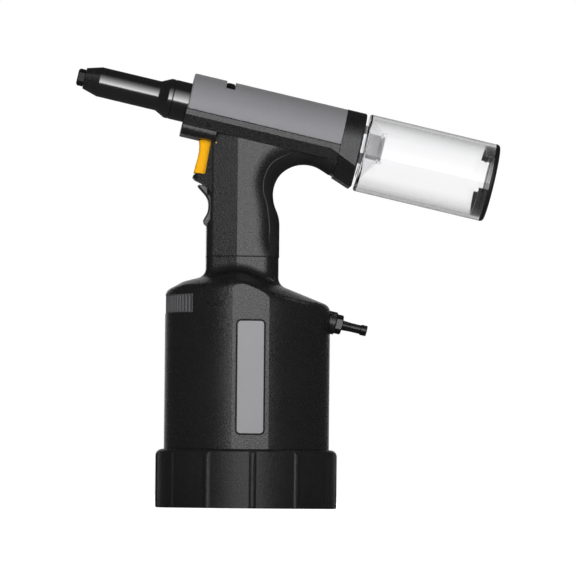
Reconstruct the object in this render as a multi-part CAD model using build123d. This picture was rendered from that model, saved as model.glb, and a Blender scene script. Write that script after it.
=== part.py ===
from build123d import *
import math
import os

# Layout in mm: origin at the middle of the base, nose toward -X, up is +Z, symmetric about Y = 0.
barrel_tilt = 12.7
running_fit = 0.05
part_gap = 0.3
close_gap = 0.1

# Air cylinder and base
cylinder_radius = 53.6
cylinder_wall = 3.9
liner_wall = 2.0
ceiling_height = 114.0
boot_wall = 5.4
boot_height = 38.0
boot_floor = 4.0
boot_edge = 4.5
boot_foot_edge = 1.2
rib_count = 12
rib_turn = 1.7
rib_width = 4.5
rib_depth = 0.9
facet_width = 23.5
label_width = 18.9
label_height = 74.0
label_middle = 84.0
label_corner = 3.2
label_depth = 0.8
label_thickness = 0.6
label_gap = 1.0
base_cap_bottom = 7.0
base_cap_height = 7.0
retaining_thickness = 1.6

# Shoulder, seen from the side: two slopes meeting under the handle, domed across
ridge_x = -7.2
ridge_rise = 41.7
front_slope = 14.5
rear_slope = 21.7
ridge_rounding = 22.0
brow_x = -42.0
brow_slope = 29.0
brow_rounding = 16.0
dome_radius = 150.0
rim_rounding = 6.0
neck_rounding = 7.0

# Exhaust grille, felt and round shoulder plug
grille_rise = 11.6
grille_height = 12.1
grille_half_angle = 46.5
grille_thickness = 2.6
grille_inset = 0.4
slot_count = 25
slot_width = 1.3
felt_thickness = 3.4
plug_radius = 9.3
plug_drop = 16.3
plug_angle = 26.2
plug_length = 13.6
spool_radius = 5.9
spool_inner_end = 17.5
spool_length = 15.5

# Air inlet at the back of the cylinder
inlet_reach = 3.8
inlet_rise = 6.4
inlet_tilt = 13.0
inlet_boss_radius = 7.4
inlet_boss_length = 9.0
inlet_hex = 11.0
inlet_hex_length = 4.2
inlet_thread_radius = 4.0
nipple_length = 16.5
nipple_root_radius = 3.25
nipple_stem_radius = 2.9
nipple_collar_radius = 3.45
nipple_collar_length = 4.3
nipple_bore_radius = 1.8

# Handle, seen from the side
neck_rise = 6.9
handle_half_width = 17.5
handle_front = -27.4
handle_back = 19.5
handle_crease = -8.0
handle_taper = 18.0
back_rounding = 10.3
flank_radius = 17.0
flank_turn = 58
front_rounding = 6.0
arch_x = 36.0
arch_rise = 40.8
arch_radius = 20.9
grip_depth = 2.4
grip_proud = 0.3

# Head: u runs back along the barrel axis from above the cylinder, v runs up from it
barrel_rise = 91.4
head_front = -41.8
cover_front = -41.0
cover_rear = 61.0
cover_radius = 19.9
cover_wall = 1.7
cover_edge = 1.2
ledge_v = -4.7
rail_bottom_v = -8.6
rail_half_width = 20.1
band_bottom_v = -15.5
band_step = 0.4
chin_v = -21.6
chin_rear = -19.0
chin_edge = 0.8
notch_start = -19.5
notch_end = -13.7
notch_v = 14.2
skirt_u = 54.8
skirt_v = -8.4
skirt_slope = 23.0
skirt_lean = 35.0
locating_pin_u = -25.0
locating_pin_v = -12.4
locating_pin_radius = 1.2

# Oil side
ram_radius = 6.5
air_piston_height = 14.0
tube_radius = 10.5
tube_bore = 7.2
tube_rise = 8.2
tube_drop = 18.0
gland_flange_radius = 24.0
gland_radius = 13.5
gland_height = 20.0
gland_flange_height = 5.5
barrel_bore = 14.0
barrel_rear = 61.0
boss_radius = 14.0
boss_drop = 22.8
oil_port_radius = 3.0
rod_radius = 7.0
rod_bore = 3.6
bush_front = -31.0
bush_rear = -19.0
bush_radius = 10.5
piston_front = 7.0
piston_length = 12.0
end_plug_front = 55.0
end_plug_flange = 5.4
spigot_radius = 8.2
spigot_end = 89.0
mandrel_tube_radius = 5.6
mandrel_tube_bore = 4.2
mandrel_tube_end = 86.0

# Nose
sleeve_front = -110.3
sleeve_front_radius = 6.85
sleeve_cone_end = -100.3
sleeve_radius = 9.75
flare_start = -61.0
flare_end = -54.6
collar_radius = 13.0
ring_groove = -51.7
sleeve_bore = 8.0
sleeve_seat = -97.0
sleeve_bend = 1.5
nosepiece_hex = 9.8
nosepiece_reach = 4.7
nosepiece_radius = 4.9
nosepiece_bore = 1.65
nosepiece_tail = -95.0
jaw_front = -94.6
jaw_rear = -82.0
jaw_housing_front = -96.5
jaw_housing_rear = -57.0
jaw_cone_rear_radius = 6.0
jaw_mouth_radius = 4.0
jaw_opening = 0.4
lock_nut_across = 13.0
rod_thread_radius = 5.2
rod_thread_front = -70.0

# Trigger and lever, in side view
trigger_pivot_x = -22.0
trigger_pivot_rise = 73.9
trigger_width = 11.0
trigger_edge = 1.8
trigger_pin_radius = 1.5
trigger_valve_rise = 63.4
lever_pivot_x = -22.6
lever_pivot_rise = 24.4
lever_width = 10.0
lever_edge = 1.2
lever_valve_rise = 34.4
lever_relief_x = -25.2
valve_radius = 4.6
valve_rear = -11.3
stem_radius = 1.5
guard_half_width = 7.4
guard_flare = 20.0

# Rear collar and mandrel container
collar_end = 74.3
container_drop = 5.1
collar_end_radius = 24.9
collar_edge = 1.2
container_front = 76.0
container_rear = 160.3
container_radius = 25.6
container_wall = 2.0
container_edge = 1.6
funnel_rear = 87.0
socket_rear = 90.0
socket_wall = 1.8
cap_rear = 163.4
cap_plug_front = 154.6
cap_edge = 2.0
cap_window = 21.0
cap_window_v = -0.8

# Places that follow from the sizes above, each piece standing on the one below
boot_radius = cylinder_radius + boot_wall
nosepiece_front = sleeve_front - nosepiece_reach
ridge_height = ceiling_height + ridge_rise
grille_bottom = ceiling_height + grille_rise
plug_height = ridge_height - plug_drop
plug_seat = cylinder_radius - plug_length
inlet_x = cylinder_radius + inlet_reach
inlet_height = ceiling_height + inlet_rise
handle_bottom = ridge_height + neck_rise
arch_height = handle_bottom + arch_rise
barrel_height = handle_bottom + barrel_rise
tube_bottom = ceiling_height + tube_rise
tube_top = barrel_height - tube_drop
gland_top = ceiling_height + gland_height
gland_flange_top = ceiling_height + gland_flange_height
boss_bottom = barrel_height - boss_drop
trigger_pivot = (trigger_pivot_x, handle_bottom + trigger_pivot_rise)
trigger_valve_height = handle_bottom + trigger_valve_rise
lever_pivot = (lever_pivot_x, handle_bottom + lever_pivot_rise)
lever_valve_height = handle_bottom + lever_valve_rise

HEAD = Pos(0, 0, barrel_height) * Rot(0, barrel_tilt, 0)
INLET = Pos(inlet_x, 0, inlet_height) * Rot(0, inlet_tilt, 0)
PLUG = Pos(0, 0, plug_height) * Rot(0, 0, -90 - plug_angle)


def side_face(points):
    """Closed outline in the side view, from (x, z) points."""
    return Plane.XZ * make_face(Polyline(*points, close=True))


def slab(points, half_width):
    """Side outline made thick by the half width to each side."""
    return extrude(side_face(points), amount=half_width, both=True)


def turned_x(points):
    """Body turned about the X axis, from (x, radius) points."""
    return revolve(side_face(points), Axis.X)


def turned_z(points):
    """Body turned about the Z axis, from (radius, z) points."""
    return revolve(side_face(points), Axis.Z)


def rod_x(start, end, radius, bore=0.0):
    """Straight rod or tube along X."""
    return turned_x([(start, bore), (end, bore), (end, radius), (start, radius)])


def rod_z(start, end, radius, bore=0.0):
    """Straight rod or tube along Z."""
    return turned_z([(bore, start), (radius, start), (radius, end), (bore, end)])


def rod_y(x, z, half_length, radius):
    """Cross pin at a place in the side view."""
    return extrude(Plane.XZ * Pos(x, z) * Circle(radius), amount=half_length, both=True)


def hex_x(start, end, across):
    """Hexagon bar along X with flats on top and bottom."""
    face = Plane.YZ * RegularPolygon(across / 2, 6, major_radius=False, rotation=30)
    return Pos(start, 0, 0) * extrude(face, amount=end - start)


def head_point(u, v):
    """Side-view place of a point given along and above the barrel axis."""
    turn = math.radians(barrel_tilt)
    return (
        u * math.cos(turn) + v * math.sin(turn),
        barrel_height - u * math.sin(turn) + v * math.cos(turn),
    )


def handle_point(x, rise):
    """Side-view place of a point given above the foot of the handle."""
    return (x, handle_bottom + rise)


def coil(mean_radius, wire_radius, length, turns):
    """Round wire spring along +X from the origin, as tangent arcs of a quarter turn."""
    start = wire_radius
    pitch = (length - 2 * wire_radius) / turns
    slope = pitch / (2 * math.pi * mean_radius)

    def place(angle):
        x = start + pitch * angle / (2 * math.pi)
        return Vector(x, mean_radius * math.cos(angle), mean_radius * math.sin(angle))

    def heading(angle):
        return Vector(slope, -math.sin(angle), math.cos(angle)).normalized()

    arcs = []
    quarter = math.pi / 2
    for step in range(turns * 4):
        first, last = place(step * quarter), place((step + 1) * quarter)
        out, back = heading(step * quarter), heading((step + 1) * quarter)
        span = last - first
        a = 2 * (1 - out.dot(back))
        b = 2 * span.dot(out + back)
        reach = (-b + math.sqrt(b * b + 4 * a * span.dot(span))) / (2 * a)
        near, far = first + out * reach, last - back * reach
        middle = (near + far) * 0.5
        arcs.append(Edge.make_tangent_arc(first, out, middle))
        arcs.append(Edge.make_tangent_arc(middle, (far - near).normalized(), last))
    section = Plane(place(0), z_dir=heading(0)) * Circle(wire_radius)
    return sweep(section, path=Wire(arcs))


def at(u, v):
    """Spot in the cross-section of the head at u, for round sections across the barrel."""
    return Plane.YZ.offset(u) * Pos(0, v)


def sector(inner, outer, bottom, top, half_angle):
    """Arc-shaped block on the nose side of the cylinder."""
    face = side_face([(inner, bottom), (outer, bottom), (outer, top), (inner, top)])
    return Rot(0, 0, 180 - half_angle) * revolve(face, Axis.Z, 2 * half_angle)


def plan_section(half_width, front, back_corner):
    """Handle cross-section: flat sides, tapered front, rounded corners."""
    narrow = half_width - (handle_crease - front) * math.tan(math.radians(handle_taper))
    outline = make_face(
        Polyline(
            (front, -narrow),
            (handle_crease, -half_width),
            (handle_back, -half_width),
            (handle_back, half_width),
            (handle_crease, half_width),
            (front, narrow),
            close=True,
        )
    )
    outline = fillet(outline.vertices().group_by(Axis.X)[0], front_rounding)
    if back_corner:
        outline = fillet(outline.vertices().group_by(Axis.X)[-1], back_corner)
    return outline


parts = {}

# Cylinder housing: round body with a domed, sloping shoulder and a neck under the handle
housing_bore = cylinder_radius - cylinder_wall
housing_bottom = boot_floor + part_gap
facet_y = math.sqrt(cylinder_radius**2 - (facet_width / 2) ** 2)
reach = cylinder_radius + 20
brow_height = ridge_height - (ridge_x - brow_x) * math.tan(math.radians(front_slope))
roof = make_face(
    Polyline(
        (-reach, brow_height - (reach + brow_x) * math.tan(math.radians(brow_slope))),
        (brow_x, brow_height),
        (ridge_x, ridge_height),
        (reach, ridge_height - (reach - ridge_x) * math.tan(math.radians(rear_slope))),
        (reach, ridge_height + 60),
        (-reach, ridge_height + 60),
        close=True,
    )
)
roof = fillet(roof.vertices().sort_by_distance((ridge_x, ridge_height))[0], ridge_rounding)
roof = fillet(roof.vertices().sort_by_distance((brow_x, brow_height))[0], brow_rounding)
dome_axis = Axis((0, 0, ridge_height - dome_radius), (1, 0, 0))
above = revolve(Plane.XZ * roof, dome_axis, 30)
above += mirror(above, Plane.XZ)
shell = rod_z(housing_bottom, ridge_height + 10, cylinder_radius) - above
rim = [
    edge
    for edge in shell.edges()
    if edge.center().Z > ceiling_height
    and abs(math.hypot(edge.position_at(0.5).X, edge.position_at(0.5).Y) - cylinder_radius) < 0.01
]
shell = fillet(rim, rim_rounding)
neck_section = plan_section(handle_half_width, handle_front, back_rounding)
neck = Pos(0, 0, ceiling_height + 8) * extrude(neck_section, amount=handle_bottom - ceiling_height - 8)
shell += neck
junction = [
    edge
    for edge in shell.edges()
    if ceiling_height + 20 < edge.center().Z < handle_bottom - 1
    and abs(edge.tangent_at(0.5).Z) < 0.9
    and math.hypot(edge.position_at(0.5).X, edge.position_at(0.5).Y) < 0.7 * cylinder_radius
]
shell = fillet(junction, neck_rounding)
for side in (-1, 1):
    shell -= Pos(0, side * (facet_y + facet_width), boot_height + ceiling_height - 8) * Box(
        cylinder_radius, 2 * facet_width, 2 * ceiling_height
    )

plug_hole = PLUG * rod_x(plug_seat, 70, plug_radius)
parts["shoulder_plug"] = shell & (PLUG * rod_x(plug_seat + close_gap, 70, plug_radius - 0.25))
spool_end = spool_inner_end + spool_length
spool_rear = spool_end - 4
parts["main_valve_spool"] = PLUG * turned_x(
    [
        (spool_inner_end, 0),
        (spool_inner_end, spool_radius),
        (spool_inner_end + 4, spool_radius),
        (spool_inner_end + 4, spool_radius - 2),
        (spool_rear, spool_radius - 2),
        (spool_rear, spool_radius),
        (spool_end, spool_radius),
        (spool_end, 0),
    ]
)

grille_top = grille_bottom + grille_height
grille_outer = cylinder_radius - grille_inset
grille_inner = grille_outer - grille_thickness
felt_outer = grille_inner - close_gap
felt_inner = felt_outer - felt_thickness
label_planes = [Plane((0, side * facet_y, label_middle), (1, 0, 0), (0, side, 0)) for side in (-1, 1)]
gland_bottom = ceiling_height + 0.2
ram_bore = ram_radius + running_fit
tube_hole = tube_radius + part_gap
retaining_groove = housing_bore + 1.3
shell -= rod_z(housing_bottom - 1, ceiling_height, housing_bore)
shell -= rod_z(base_cap_bottom - retaining_thickness - close_gap, base_cap_bottom, retaining_groove)
shell -= rod_z(ceiling_height - 1, gland_flange_top, gland_flange_radius + close_gap)
shell -= rod_z(gland_flange_top - 1, gland_top + part_gap, gland_radius + close_gap)
shell -= rod_z(gland_top, handle_bottom + 1, tube_hole)
shell -= sector(felt_inner - close_gap, cylinder_radius + 5, grille_bottom, grille_top, grille_half_angle)
shell -= plug_hole
shell -= PLUG * rod_x(spool_inner_end - 1.5, plug_seat + 1, spool_radius + running_fit)
shell -= INLET * rod_x(-inlet_boss_length, 20, inlet_boss_radius + running_fit)
shell -= INLET * rod_x(-inlet_boss_length - 7, 0, inlet_thread_radius)
recess = RectangleRounded(label_width, label_height, label_corner)
for plane in label_planes:
    shell -= extrude(plane * recess, amount=-label_depth)
parts["cylinder_housing"] = shell
plate = RectangleRounded(label_width - 2 * label_gap, label_height - 2 * label_gap, label_corner - label_gap)
parts["label_plates"] = Compound(
    [extrude(plane.offset(-label_depth) * plate, amount=label_thickness).solid() for plane in label_planes]
)

grille = sector(grille_inner, grille_outer, grille_bottom + 0.1, grille_top - 0.1, grille_half_angle - 0.1)
slot_pitch = 2 * (grille_half_angle - 2) / slot_count
for index in range(slot_count):
    turn = 180 + (index - (slot_count - 1) / 2) * slot_pitch
    slot = Box(20, slot_width, grille_height - 1.6)
    grille -= Rot(0, 0, turn) * Pos(cylinder_radius, 0, (grille_bottom + grille_top) / 2) * slot
parts["exhaust_grille"] = grille
parts["exhaust_felt"] = sector(
    felt_inner, felt_outer, grille_bottom + 0.1, grille_top - 0.1, grille_half_angle - 0.2
)

# Rubber base boot with upright ribs
boot_inner = cylinder_radius + close_gap
envelope = rod_z(0, boot_height, boot_radius)
envelope = fillet(envelope.edges().sort_by(Axis.Z)[-1], boot_edge)
envelope = fillet(envelope.edges().sort_by(Axis.Z)[0], boot_foot_edge)
boot = rod_z(0, boot_height, boot_radius - rib_depth)
rib_radius = (rib_width**2 / 4 + rib_depth**2) / (2 * rib_depth)
for index in range(rib_count):
    turn = rib_turn - 90 + index * 360 / rib_count
    boot += Rot(0, 0, turn) * Pos(boot_radius - rib_radius, 0, 0) * rod_z(0, boot_height, rib_radius)
boot = (boot & envelope) - rod_z(boot_floor, boot_height + 1, boot_inner)
parts["base_boot"] = boot

# Base cap, liner and air piston with its ram
cap_radius = housing_bore - close_gap
base_cap_top = base_cap_bottom + base_cap_height
cap_groove = base_cap_bottom + 2.4
cap_groove_radius = cap_radius - 2
base_cap = rod_z(base_cap_bottom, base_cap_top, cap_radius)
base_cap -= rod_z(cap_groove, cap_groove + 2.4, cap_radius + 1, cap_groove_radius)
base_cap -= rod_z(base_cap_bottom - 1, base_cap_bottom + 3, cap_radius - 12)
parts["base_cap"] = base_cap
parts["base_cap_seal"] = rod_z(
    cap_groove + close_gap, cap_groove + 2.3, housing_bore - running_fit, cap_groove_radius + running_fit
)
retaining_bottom = base_cap_bottom - retaining_thickness
retaining = rod_z(retaining_bottom, base_cap_bottom - running_fit, retaining_groove - 0.2, cap_radius - 3)
parts["retaining_ring"] = retaining - Pos(cylinder_radius, 0, retaining_bottom) * Box(20, 8, 10)
liner_bottom = base_cap_top + close_gap
liner_bore = cap_radius - liner_wall
parts["cylinder_liner"] = rod_z(liner_bottom, ceiling_height - close_gap, cap_radius, liner_bore)

piston_bottom = base_cap_top + 1
piston_top = piston_bottom + air_piston_height
piston_radius = liner_bore - 0.4
ram_thread = ram_radius - 1.5
nut_top = piston_bottom + 4.2
seal_bottom = piston_bottom + 4.5
seal_depth = 3.0
seal_height = 4.6
air_piston = rod_z(piston_bottom, piston_top, piston_radius, ram_thread + running_fit)
air_piston -= rod_z(seal_bottom, seal_bottom + seal_height, piston_radius + 1, piston_radius - seal_depth)
air_piston -= rod_z(piston_bottom - 1, nut_top, 11)
air_piston -= rod_z(piston_bottom + 9, piston_top + 1, piston_radius - 8, 16)
parts["air_piston"] = air_piston
parts["air_piston_seal"] = rod_z(
    seal_bottom + close_gap,
    seal_bottom + seal_height - close_gap,
    liner_bore - running_fit,
    piston_radius - seal_depth + close_gap,
)
ram_top = gland_top
parts["ram_rod"] = turned_z(
    [
        (0, piston_bottom + 0.4),
        (ram_thread, piston_bottom + 0.4),
        (ram_thread, piston_top + running_fit),
        (ram_radius, piston_top + running_fit),
        (ram_radius, ram_top - 1),
        (ram_radius - 1, ram_top),
        (0, ram_top),
    ]
)
nut_face = RegularPolygon(8.5, 6, major_radius=False)
nut = Pos(0, 0, piston_bottom + 0.6) * extrude(nut_face, amount=nut_top - piston_bottom - 0.7)
parts["piston_nut"] = nut - rod_z(0, 40, ram_thread + running_fit)

# Ram gland and pressure tube in the handle
gland_seal = (ceiling_height + 2, ceiling_height + 4.6)
gland = turned_z(
    [
        (ram_bore, gland_bottom),
        (gland_flange_radius, gland_bottom),
        (gland_flange_radius, gland_flange_top - close_gap),
        (gland_radius, gland_flange_top - close_gap),
        (gland_radius, gland_top),
        (tube_radius + running_fit, gland_top),
        (tube_radius + running_fit, tube_bottom - close_gap),
        (ram_bore, tube_bottom - close_gap),
    ]
)
parts["ram_gland"] = gland - rod_z(gland_seal[0], gland_seal[1], ram_radius + 2.5)
parts["ram_seal"] = rod_z(
    gland_seal[0] + close_gap, gland_seal[1] - close_gap, ram_radius + 2.4, ram_radius + running_fit
)
parts["pressure_tube"] = rod_z(tube_bottom, tube_top, tube_radius, tube_bore)

# Air inlet
inlet_boss = rod_x(-inlet_boss_length + close_gap, 0, inlet_boss_radius)
inlet_boss = chamfer(inlet_boss.edges().sort_by(Axis.X)[-1], 0.6)
parts["inlet_boss"] = INLET * (inlet_boss - rod_x(-20, 5, inlet_thread_radius))
nipple_end = inlet_hex_length + nipple_length
nipple = turned_x(
    [
        (-6, nipple_bore_radius),
        (-6, inlet_thread_radius - running_fit),
        (close_gap, inlet_thread_radius - running_fit),
        (close_gap, nipple_root_radius),
        (inlet_hex_length, nipple_root_radius),
        (inlet_hex_length + 6, nipple_stem_radius),
        (nipple_end - nipple_collar_length, nipple_stem_radius),
        (nipple_end - nipple_collar_length, nipple_collar_radius),
        (nipple_end, nipple_collar_radius),
        (nipple_end, nipple_bore_radius),
    ]
)
inlet_nut = hex_x(close_gap, inlet_hex_length, inlet_hex)
inlet_nut &= turned_x(
    [
        (0, 0),
        (0, inlet_hex / 2 + 0.9),
        (inlet_hex_length - 0.6, inlet_hex / 2 + 0.9),
        (inlet_hex_length, inlet_hex / 2),
        (inlet_hex_length, 0),
    ]
)
nipple += inlet_nut - rod_x(-1, 10, nipple_bore_radius)
lip = nipple.edges().filter_by(GeomType.CIRCLE)
lip = lip.filter_by(lambda edge: abs(edge.radius - nipple_collar_radius) < 0.01)
nipple = fillet(lip, 0.5)
parts["hose_nipple"] = INLET * nipple

# Handle housing with the lower half of the head
arch_mid = math.radians(118)
arch_left = (arch_x - arch_radius, arch_height)
slope_end = head_point(cover_rear, chin_v - 2.9)
arch_right = (arch_x + 0.555 * arch_radius, arch_height + 0.832 * arch_radius)
back_line = handle_point(handle_back, 20.4)
waist_middle = ((arch_left[0] + back_line[0]) / 2, (arch_left[1] + back_line[1]) / 2)
outline = make_face(
    [
        Polyline(
            back_line,
            (handle_back, handle_bottom),
            (handle_front - 2, handle_bottom),
            handle_point(handle_front - 2, 50.4),
            handle_point(-28.5, 53.9),
            handle_point(-24.6, 78.4),
            head_point(-21.0, -10.0),
            head_point(cover_rear, -10.0),
            slope_end,
            arch_right,
        ),
        ThreePointArc(
            arch_right,
            (arch_x + arch_radius * math.cos(arch_mid), arch_height + arch_radius * math.sin(arch_mid)),
            arch_left,
        ),
        TangentArc(arch_left, waist_middle, tangent=(0, -1)),
        TangentArc(back_line, waist_middle, tangent=(0, 1)),
    ]
)


flank_line = Plane.XZ * Spline(
    handle_point(9.6, -4.0),
    handle_point(7.5, 0.0),
    handle_point(4.8, 8.0),
    handle_point(4.2, 16.0),
    handle_point(3.9, 25.5),
    handle_point(2.0, 37.5),
    handle_point(0.6, 45.5),
    handle_point(1.2, 53.0),
    handle_point(3.6, 60.5),
    handle_point(8.2, 67.3),
    handle_point(15.5, 72.5),
    handle_point(25.0, 74.5),
    handle_point(36.0, 72.0),
)


def flank_cut(half):
    """Cutters that round both flanks of the handle from the flank line to its back."""
    turn = math.radians(flank_turn)
    reach = flank_radius * math.sin(turn)
    end = half - flank_radius * (1 - math.cos(turn))
    curve = ThreePointArc(
        (half, 0),
        (half - flank_radius * (1 - math.cos(turn / 2)), flank_radius * math.sin(turn / 2)),
        (end, reach),
    )
    outside = Polyline((end, reach), (end - 10, reach + 7), (half + 5, reach + 7), (half + 5, 0), (half, 0))
    start = Plane(flank_line @ 0, (0, -1, 0), flank_line % 0)
    cutter = sweep(start * make_face([curve, outside]), flank_line)
    return cutter + mirror(cutter, Plane.XZ)


def handle_block(inset):
    """Handle solid, with its surface moved inward by the inset."""
    face = offset(outline, -inset, kind=Kind.INTERSECTION) if inset else outline
    half = handle_half_width - inset
    block = extrude(Plane.XZ * face, amount=half, both=True)
    marks = [
        handle_point(handle_back, 9.4),
        handle_point(18.7, 24.4),
        handle_point(15.8, 35.9),
        handle_point(26.2, 58.9),
        handle_point(51.0, 55.8),
    ]
    chosen = []
    for side in (-half, half):
        flat = block.edges().filter_by(lambda edge: abs(edge.center().Y - side) < 0.01)
        chosen += [flat.sort_by_distance((x, side, z))[0] for x, z in marks]
    block = fillet(chosen, back_rounding - inset)
    section = plan_section(half, handle_front + inset, 0)
    section += Pos(handle_back + 30, 0) * Rectangle(80, 2 * half)
    column = Pos(0, 0, handle_bottom - 5) * extrude(section, amount=110)
    return (block & column) - flank_cut(half)


barrel_radius = cover_radius - cover_wall - part_gap
trough_radius = cover_radius - cover_wall
front_wall = 1.9
collar_hole = collar_radius + part_gap
band = make_face(
    Polyline(
        (-rail_half_width, ledge_v),
        (-rail_half_width, rail_bottom_v),
        (-handle_half_width - band_step, band_bottom_v),
        (handle_half_width + band_step, band_bottom_v),
        (rail_half_width, rail_bottom_v),
        (rail_half_width, ledge_v),
        close=True,
    )
)
chin = make_face(
    Polyline(
        (-handle_half_width - band_step, band_bottom_v + 1),
        (-handle_half_width - band_step, chin_v),
        (handle_half_width + band_step, chin_v),
        (handle_half_width + band_step, band_bottom_v + 1),
        close=True,
    )
)
chin = fillet(chin.vertices().group_by(Axis.Y)[0], 5)
band = fillet(band.vertices().filter_by(lambda corner: corner.Y > rail_bottom_v - 1), 0.6)
lower_head = Pos(head_front, 0, 0) * extrude(Plane.YZ * band, amount=cover_rear - head_front)
lower_head += Pos(head_front, 0, 0) * extrude(Plane.YZ * chin, amount=chin_rear - head_front)
lower_head = fillet(lower_head.faces().sort_by(Axis.X)[0].outer_wire().edges(), chin_edge)
skirt_end = skirt_v - (cover_rear - skirt_u) * math.tan(math.radians(skirt_slope))
lower_head += slab([(skirt_u, skirt_v), (cover_rear, skirt_v), (cover_rear, skirt_end)], rail_half_width)

guard_rear = -20.0
guard_tip = -37.0
guard_rear_width = guard_half_width + (guard_rear - guard_tip) * math.tan(math.radians(guard_flare))
guard = slab(
    [
        handle_point(-36.8, 51.9),
        handle_point(-36.3, 53.3),
        handle_point(-35.2, 53.8),
        handle_point(-29.6, 53.8),
        handle_point(-28.7, 54.6),
        handle_point(-25.2, 75.6),
        handle_point(-22.0, 75.6),
        handle_point(-22.0, 40.4),
        handle_point(-24.2, 40.4),
        handle_point(-24.6, 41.1),
        handle_point(-27.3, 45.4),
        handle_point(-30.8, 48.3),
        handle_point(-35.2, 50.3),
    ],
    guard_rear_width,
)
guard_plan = make_face(
    Polyline(
        (guard_tip, -guard_half_width),
        (guard_rear, -guard_rear_width),
        (guard_rear, guard_rear_width),
        (guard_tip, guard_half_width),
        close=True,
    )
)
guard_plan = fillet(guard_plan.vertices().group_by(Axis.X)[0], 5)
guard &= Pos(0, 0, handle_bottom + 32.4) * extrude(guard_plan, amount=50)

seam = Spline(
    (12.6, handle_bottom - 1),
    handle_point(12.6, 21.3),
    handle_point(10.8, 33.2),
    handle_point(8.3, 42.6),
    handle_point(9.0, 52.1),
    handle_point(14.4, 61.6),
    handle_point(27.4, 68.8),
)
grip_top = -16.6
grip_end = cover_rear - 2
grip_area = make_face(
    [
        seam,
        Polyline(
            handle_point(27.4, 68.8),
            head_point(grip_end, grip_top),
            head_point(grip_end, -40),
            (40.0, handle_bottom - 1),
            (12.6, handle_bottom - 1),
        ),
    ]
)
grip_zone = extrude(Plane.XZ * grip_area, amount=handle_half_width + 5, both=True)
trough = HEAD * rod_x(head_front + front_wall, cover_rear + 5, trough_radius)
grip_pocket = grip_zone - handle_block(grip_depth)
grip = (handle_block(-grip_proud) & grip_pocket) - trough
grip -= rod_z(handle_bottom - 10, handle_bottom, 60)

handle = handle_block(0) - grip_pocket
handle += HEAD * lower_head
handle += guard
handle -= rod_z(handle_bottom - 1, boss_bottom, tube_hole)
handle -= rod_z(boss_bottom - part_gap, barrel_height, boss_radius + part_gap)
handle -= trough
handle -= HEAD * rod_x(head_front - 5, head_front + front_wall + 1, collar_hole)
trigger_slot = slab(
    [
        handle_point(-45, 54.0),
        handle_point(-34.3, 53.3),
        handle_point(-33.6, 51.0),
        handle_point(-20.2, 50.6),
        handle_point(-20.2, 68.4),
        handle_point(-17.6, 68.9),
        handle_point(-17.6, 78.4),
        handle_point(-33.0, 78.4),
        handle_point(-33.0, 74.4),
        handle_point(-45, 74.4),
    ],
    trigger_width / 2 + part_gap,
)
lever_slot = slab(
    [
        handle_point(-45, 20.0),
        handle_point(-18.4, 20.0),
        handle_point(-18.4, 43.4),
        handle_point(-21.4, 46.2),
        handle_point(-25.0, 48.6),
        handle_point(-45, 48.6),
    ],
    lever_width / 2 + part_gap,
)
lever_relief = slab(
    [
        handle_point(-45, 40.4),
        handle_point(-25.6, 40.4),
        handle_point(lever_relief_x, 37.9),
        handle_point(lever_relief_x, 24.4),
        handle_point(handle_front, 21.4),
        handle_point(-45, 21.4),
    ],
    handle_half_width + 1,
)
handle -= trigger_slot + lever_slot
handle -= lever_relief


def valve(front, tip, height):
    """Push valve with its stem and spring, pointing forward out of the handle."""
    cavity = front + 1.3
    back = valve_rear - 1.0
    case = turned_x(
        [
            (front, stem_radius + running_fit),
            (front, valve_radius),
            (valve_rear, valve_radius),
            (valve_rear, 0),
            (back, 0),
            (back, stem_radius + 1.3),
            (cavity, stem_radius + 1.3),
            (cavity, stem_radius + running_fit),
        ]
    )
    stem = turned_x(
        [
            (tip, 0),
            (tip, stem_radius),
            (cavity + close_gap, stem_radius),
            (cavity + close_gap, stem_radius + 0.9),
            (cavity + 1.0, stem_radius + 0.9),
            (cavity + 1.0, 0),
        ]
    )
    spring = Pos(cavity + 1.1, 0, 0) * coil(stem_radius + 0.4, 0.25, back - cavity - 1.2, 3)
    return [Pos(0, 0, height) * piece for piece in (case, stem, spring)]


trigger_valve_front = -20.0
lever_valve_front = -18.2
valves = {
    "trigger": valve(trigger_valve_front, -24.05, trigger_valve_height),
    "lever": valve(lever_valve_front, -21.1, lever_valve_height),
}
for name, pieces in valves.items():
    parts[f"{name}_valve_body"] = pieces[0]
    parts[f"{name}_valve_stem"] = pieces[1]
    parts[f"{name}_valve_spring"] = pieces[2]
pocket_radius = valve_radius + close_gap
handle -= Pos(0, 0, trigger_valve_height) * rod_x(trigger_valve_front - 1, -5, pocket_radius)
handle -= Pos(0, 0, lever_valve_height) * rod_x(lever_valve_front - 1, -5, pocket_radius)
trigger_pin = rod_y(trigger_pivot[0], trigger_pivot[1], 25, trigger_pin_radius) & handle_block(0)
lever_pin = rod_y(lever_pivot[0], lever_pivot[1], 9.5, trigger_pin_radius)
pin_inner = 14.7
pin_bar = Pos(locating_pin_u, 0, locating_pin_v) * Rot(90, 0, 0) * Cylinder(locating_pin_radius, 10)
pins = [HEAD * (lower_head & Pos(0, side * (pin_inner + 5), 0) * pin_bar) for side in (-1, 1)]
handle -= trigger_pin
handle -= lever_pin
for pin in pins:
    handle -= pin
parts["handle_housing"] = handle
parts["back_grip"] = grip
parts["trigger_pin"] = trigger_pin
parts["lever_pin"] = lever_pin
parts["locating_pins"] = Compound([pin.solid() for pin in pins])

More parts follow.
